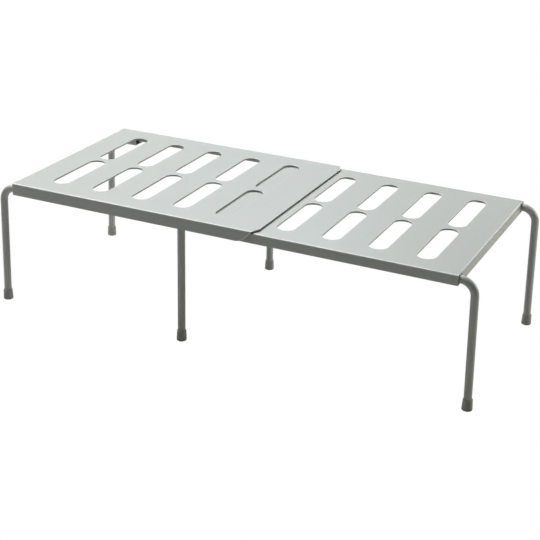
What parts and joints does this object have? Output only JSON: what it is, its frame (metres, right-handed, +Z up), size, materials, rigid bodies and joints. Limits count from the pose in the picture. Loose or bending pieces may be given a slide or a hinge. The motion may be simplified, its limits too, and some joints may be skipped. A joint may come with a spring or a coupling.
{
  "type": "expandable cabinet shelf",
  "caption": "Expandable cabinet shelf: slotted sheet-metal decks, one sliding over the other, on bent round-rod legs with flared foot caps.",
  "frame": {"origin": "middle of the footprint, on the floor under the feet", "axes": "+X along the shelf towards the inner (lower) deck's leg end, +Y to the back, +Z up"},
  "size_m": [0.5756, 0.24, 0.149],
  "materials": {
    "coated_deck": "satin powder coat, sage grey",
    "coated_rod": "satin powder coat, sage grey",
    "foot_cap": "matt vinyl, sage grey"
  },
  "bodies": {
    "inner_shelf": {"inner_deck": "coated_deck", "right_front_leg": "coated_rod", "right_back_leg": "coated_rod", "right_front_bracket": "coated_rod", "right_back_bracket": "coated_rod", "right_front_foot": "foot_cap", "right_back_foot": "foot_cap", "middle_front_leg": "coated_rod", "middle_back_leg": "coated_rod", "middle_front_foot": "foot_cap", "middle_back_foot": "foot_cap"},
    "outer_shelf": {"outer_deck": "coated_deck", "left_front_leg": "coated_rod", "left_back_leg": "coated_rod", "left_front_bracket": "coated_rod", "left_back_bracket": "coated_rod", "left_front_foot": "foot_cap", "left_back_foot": "foot_cap"}
  },
  "joints": [
    {"name": "extension_slide", "type": "slide", "parent": "inner_shelf", "child": "outer_shelf", "axis": [-1, 0, 0], "range_m": [-0.176, 0.046]}
  ]
}
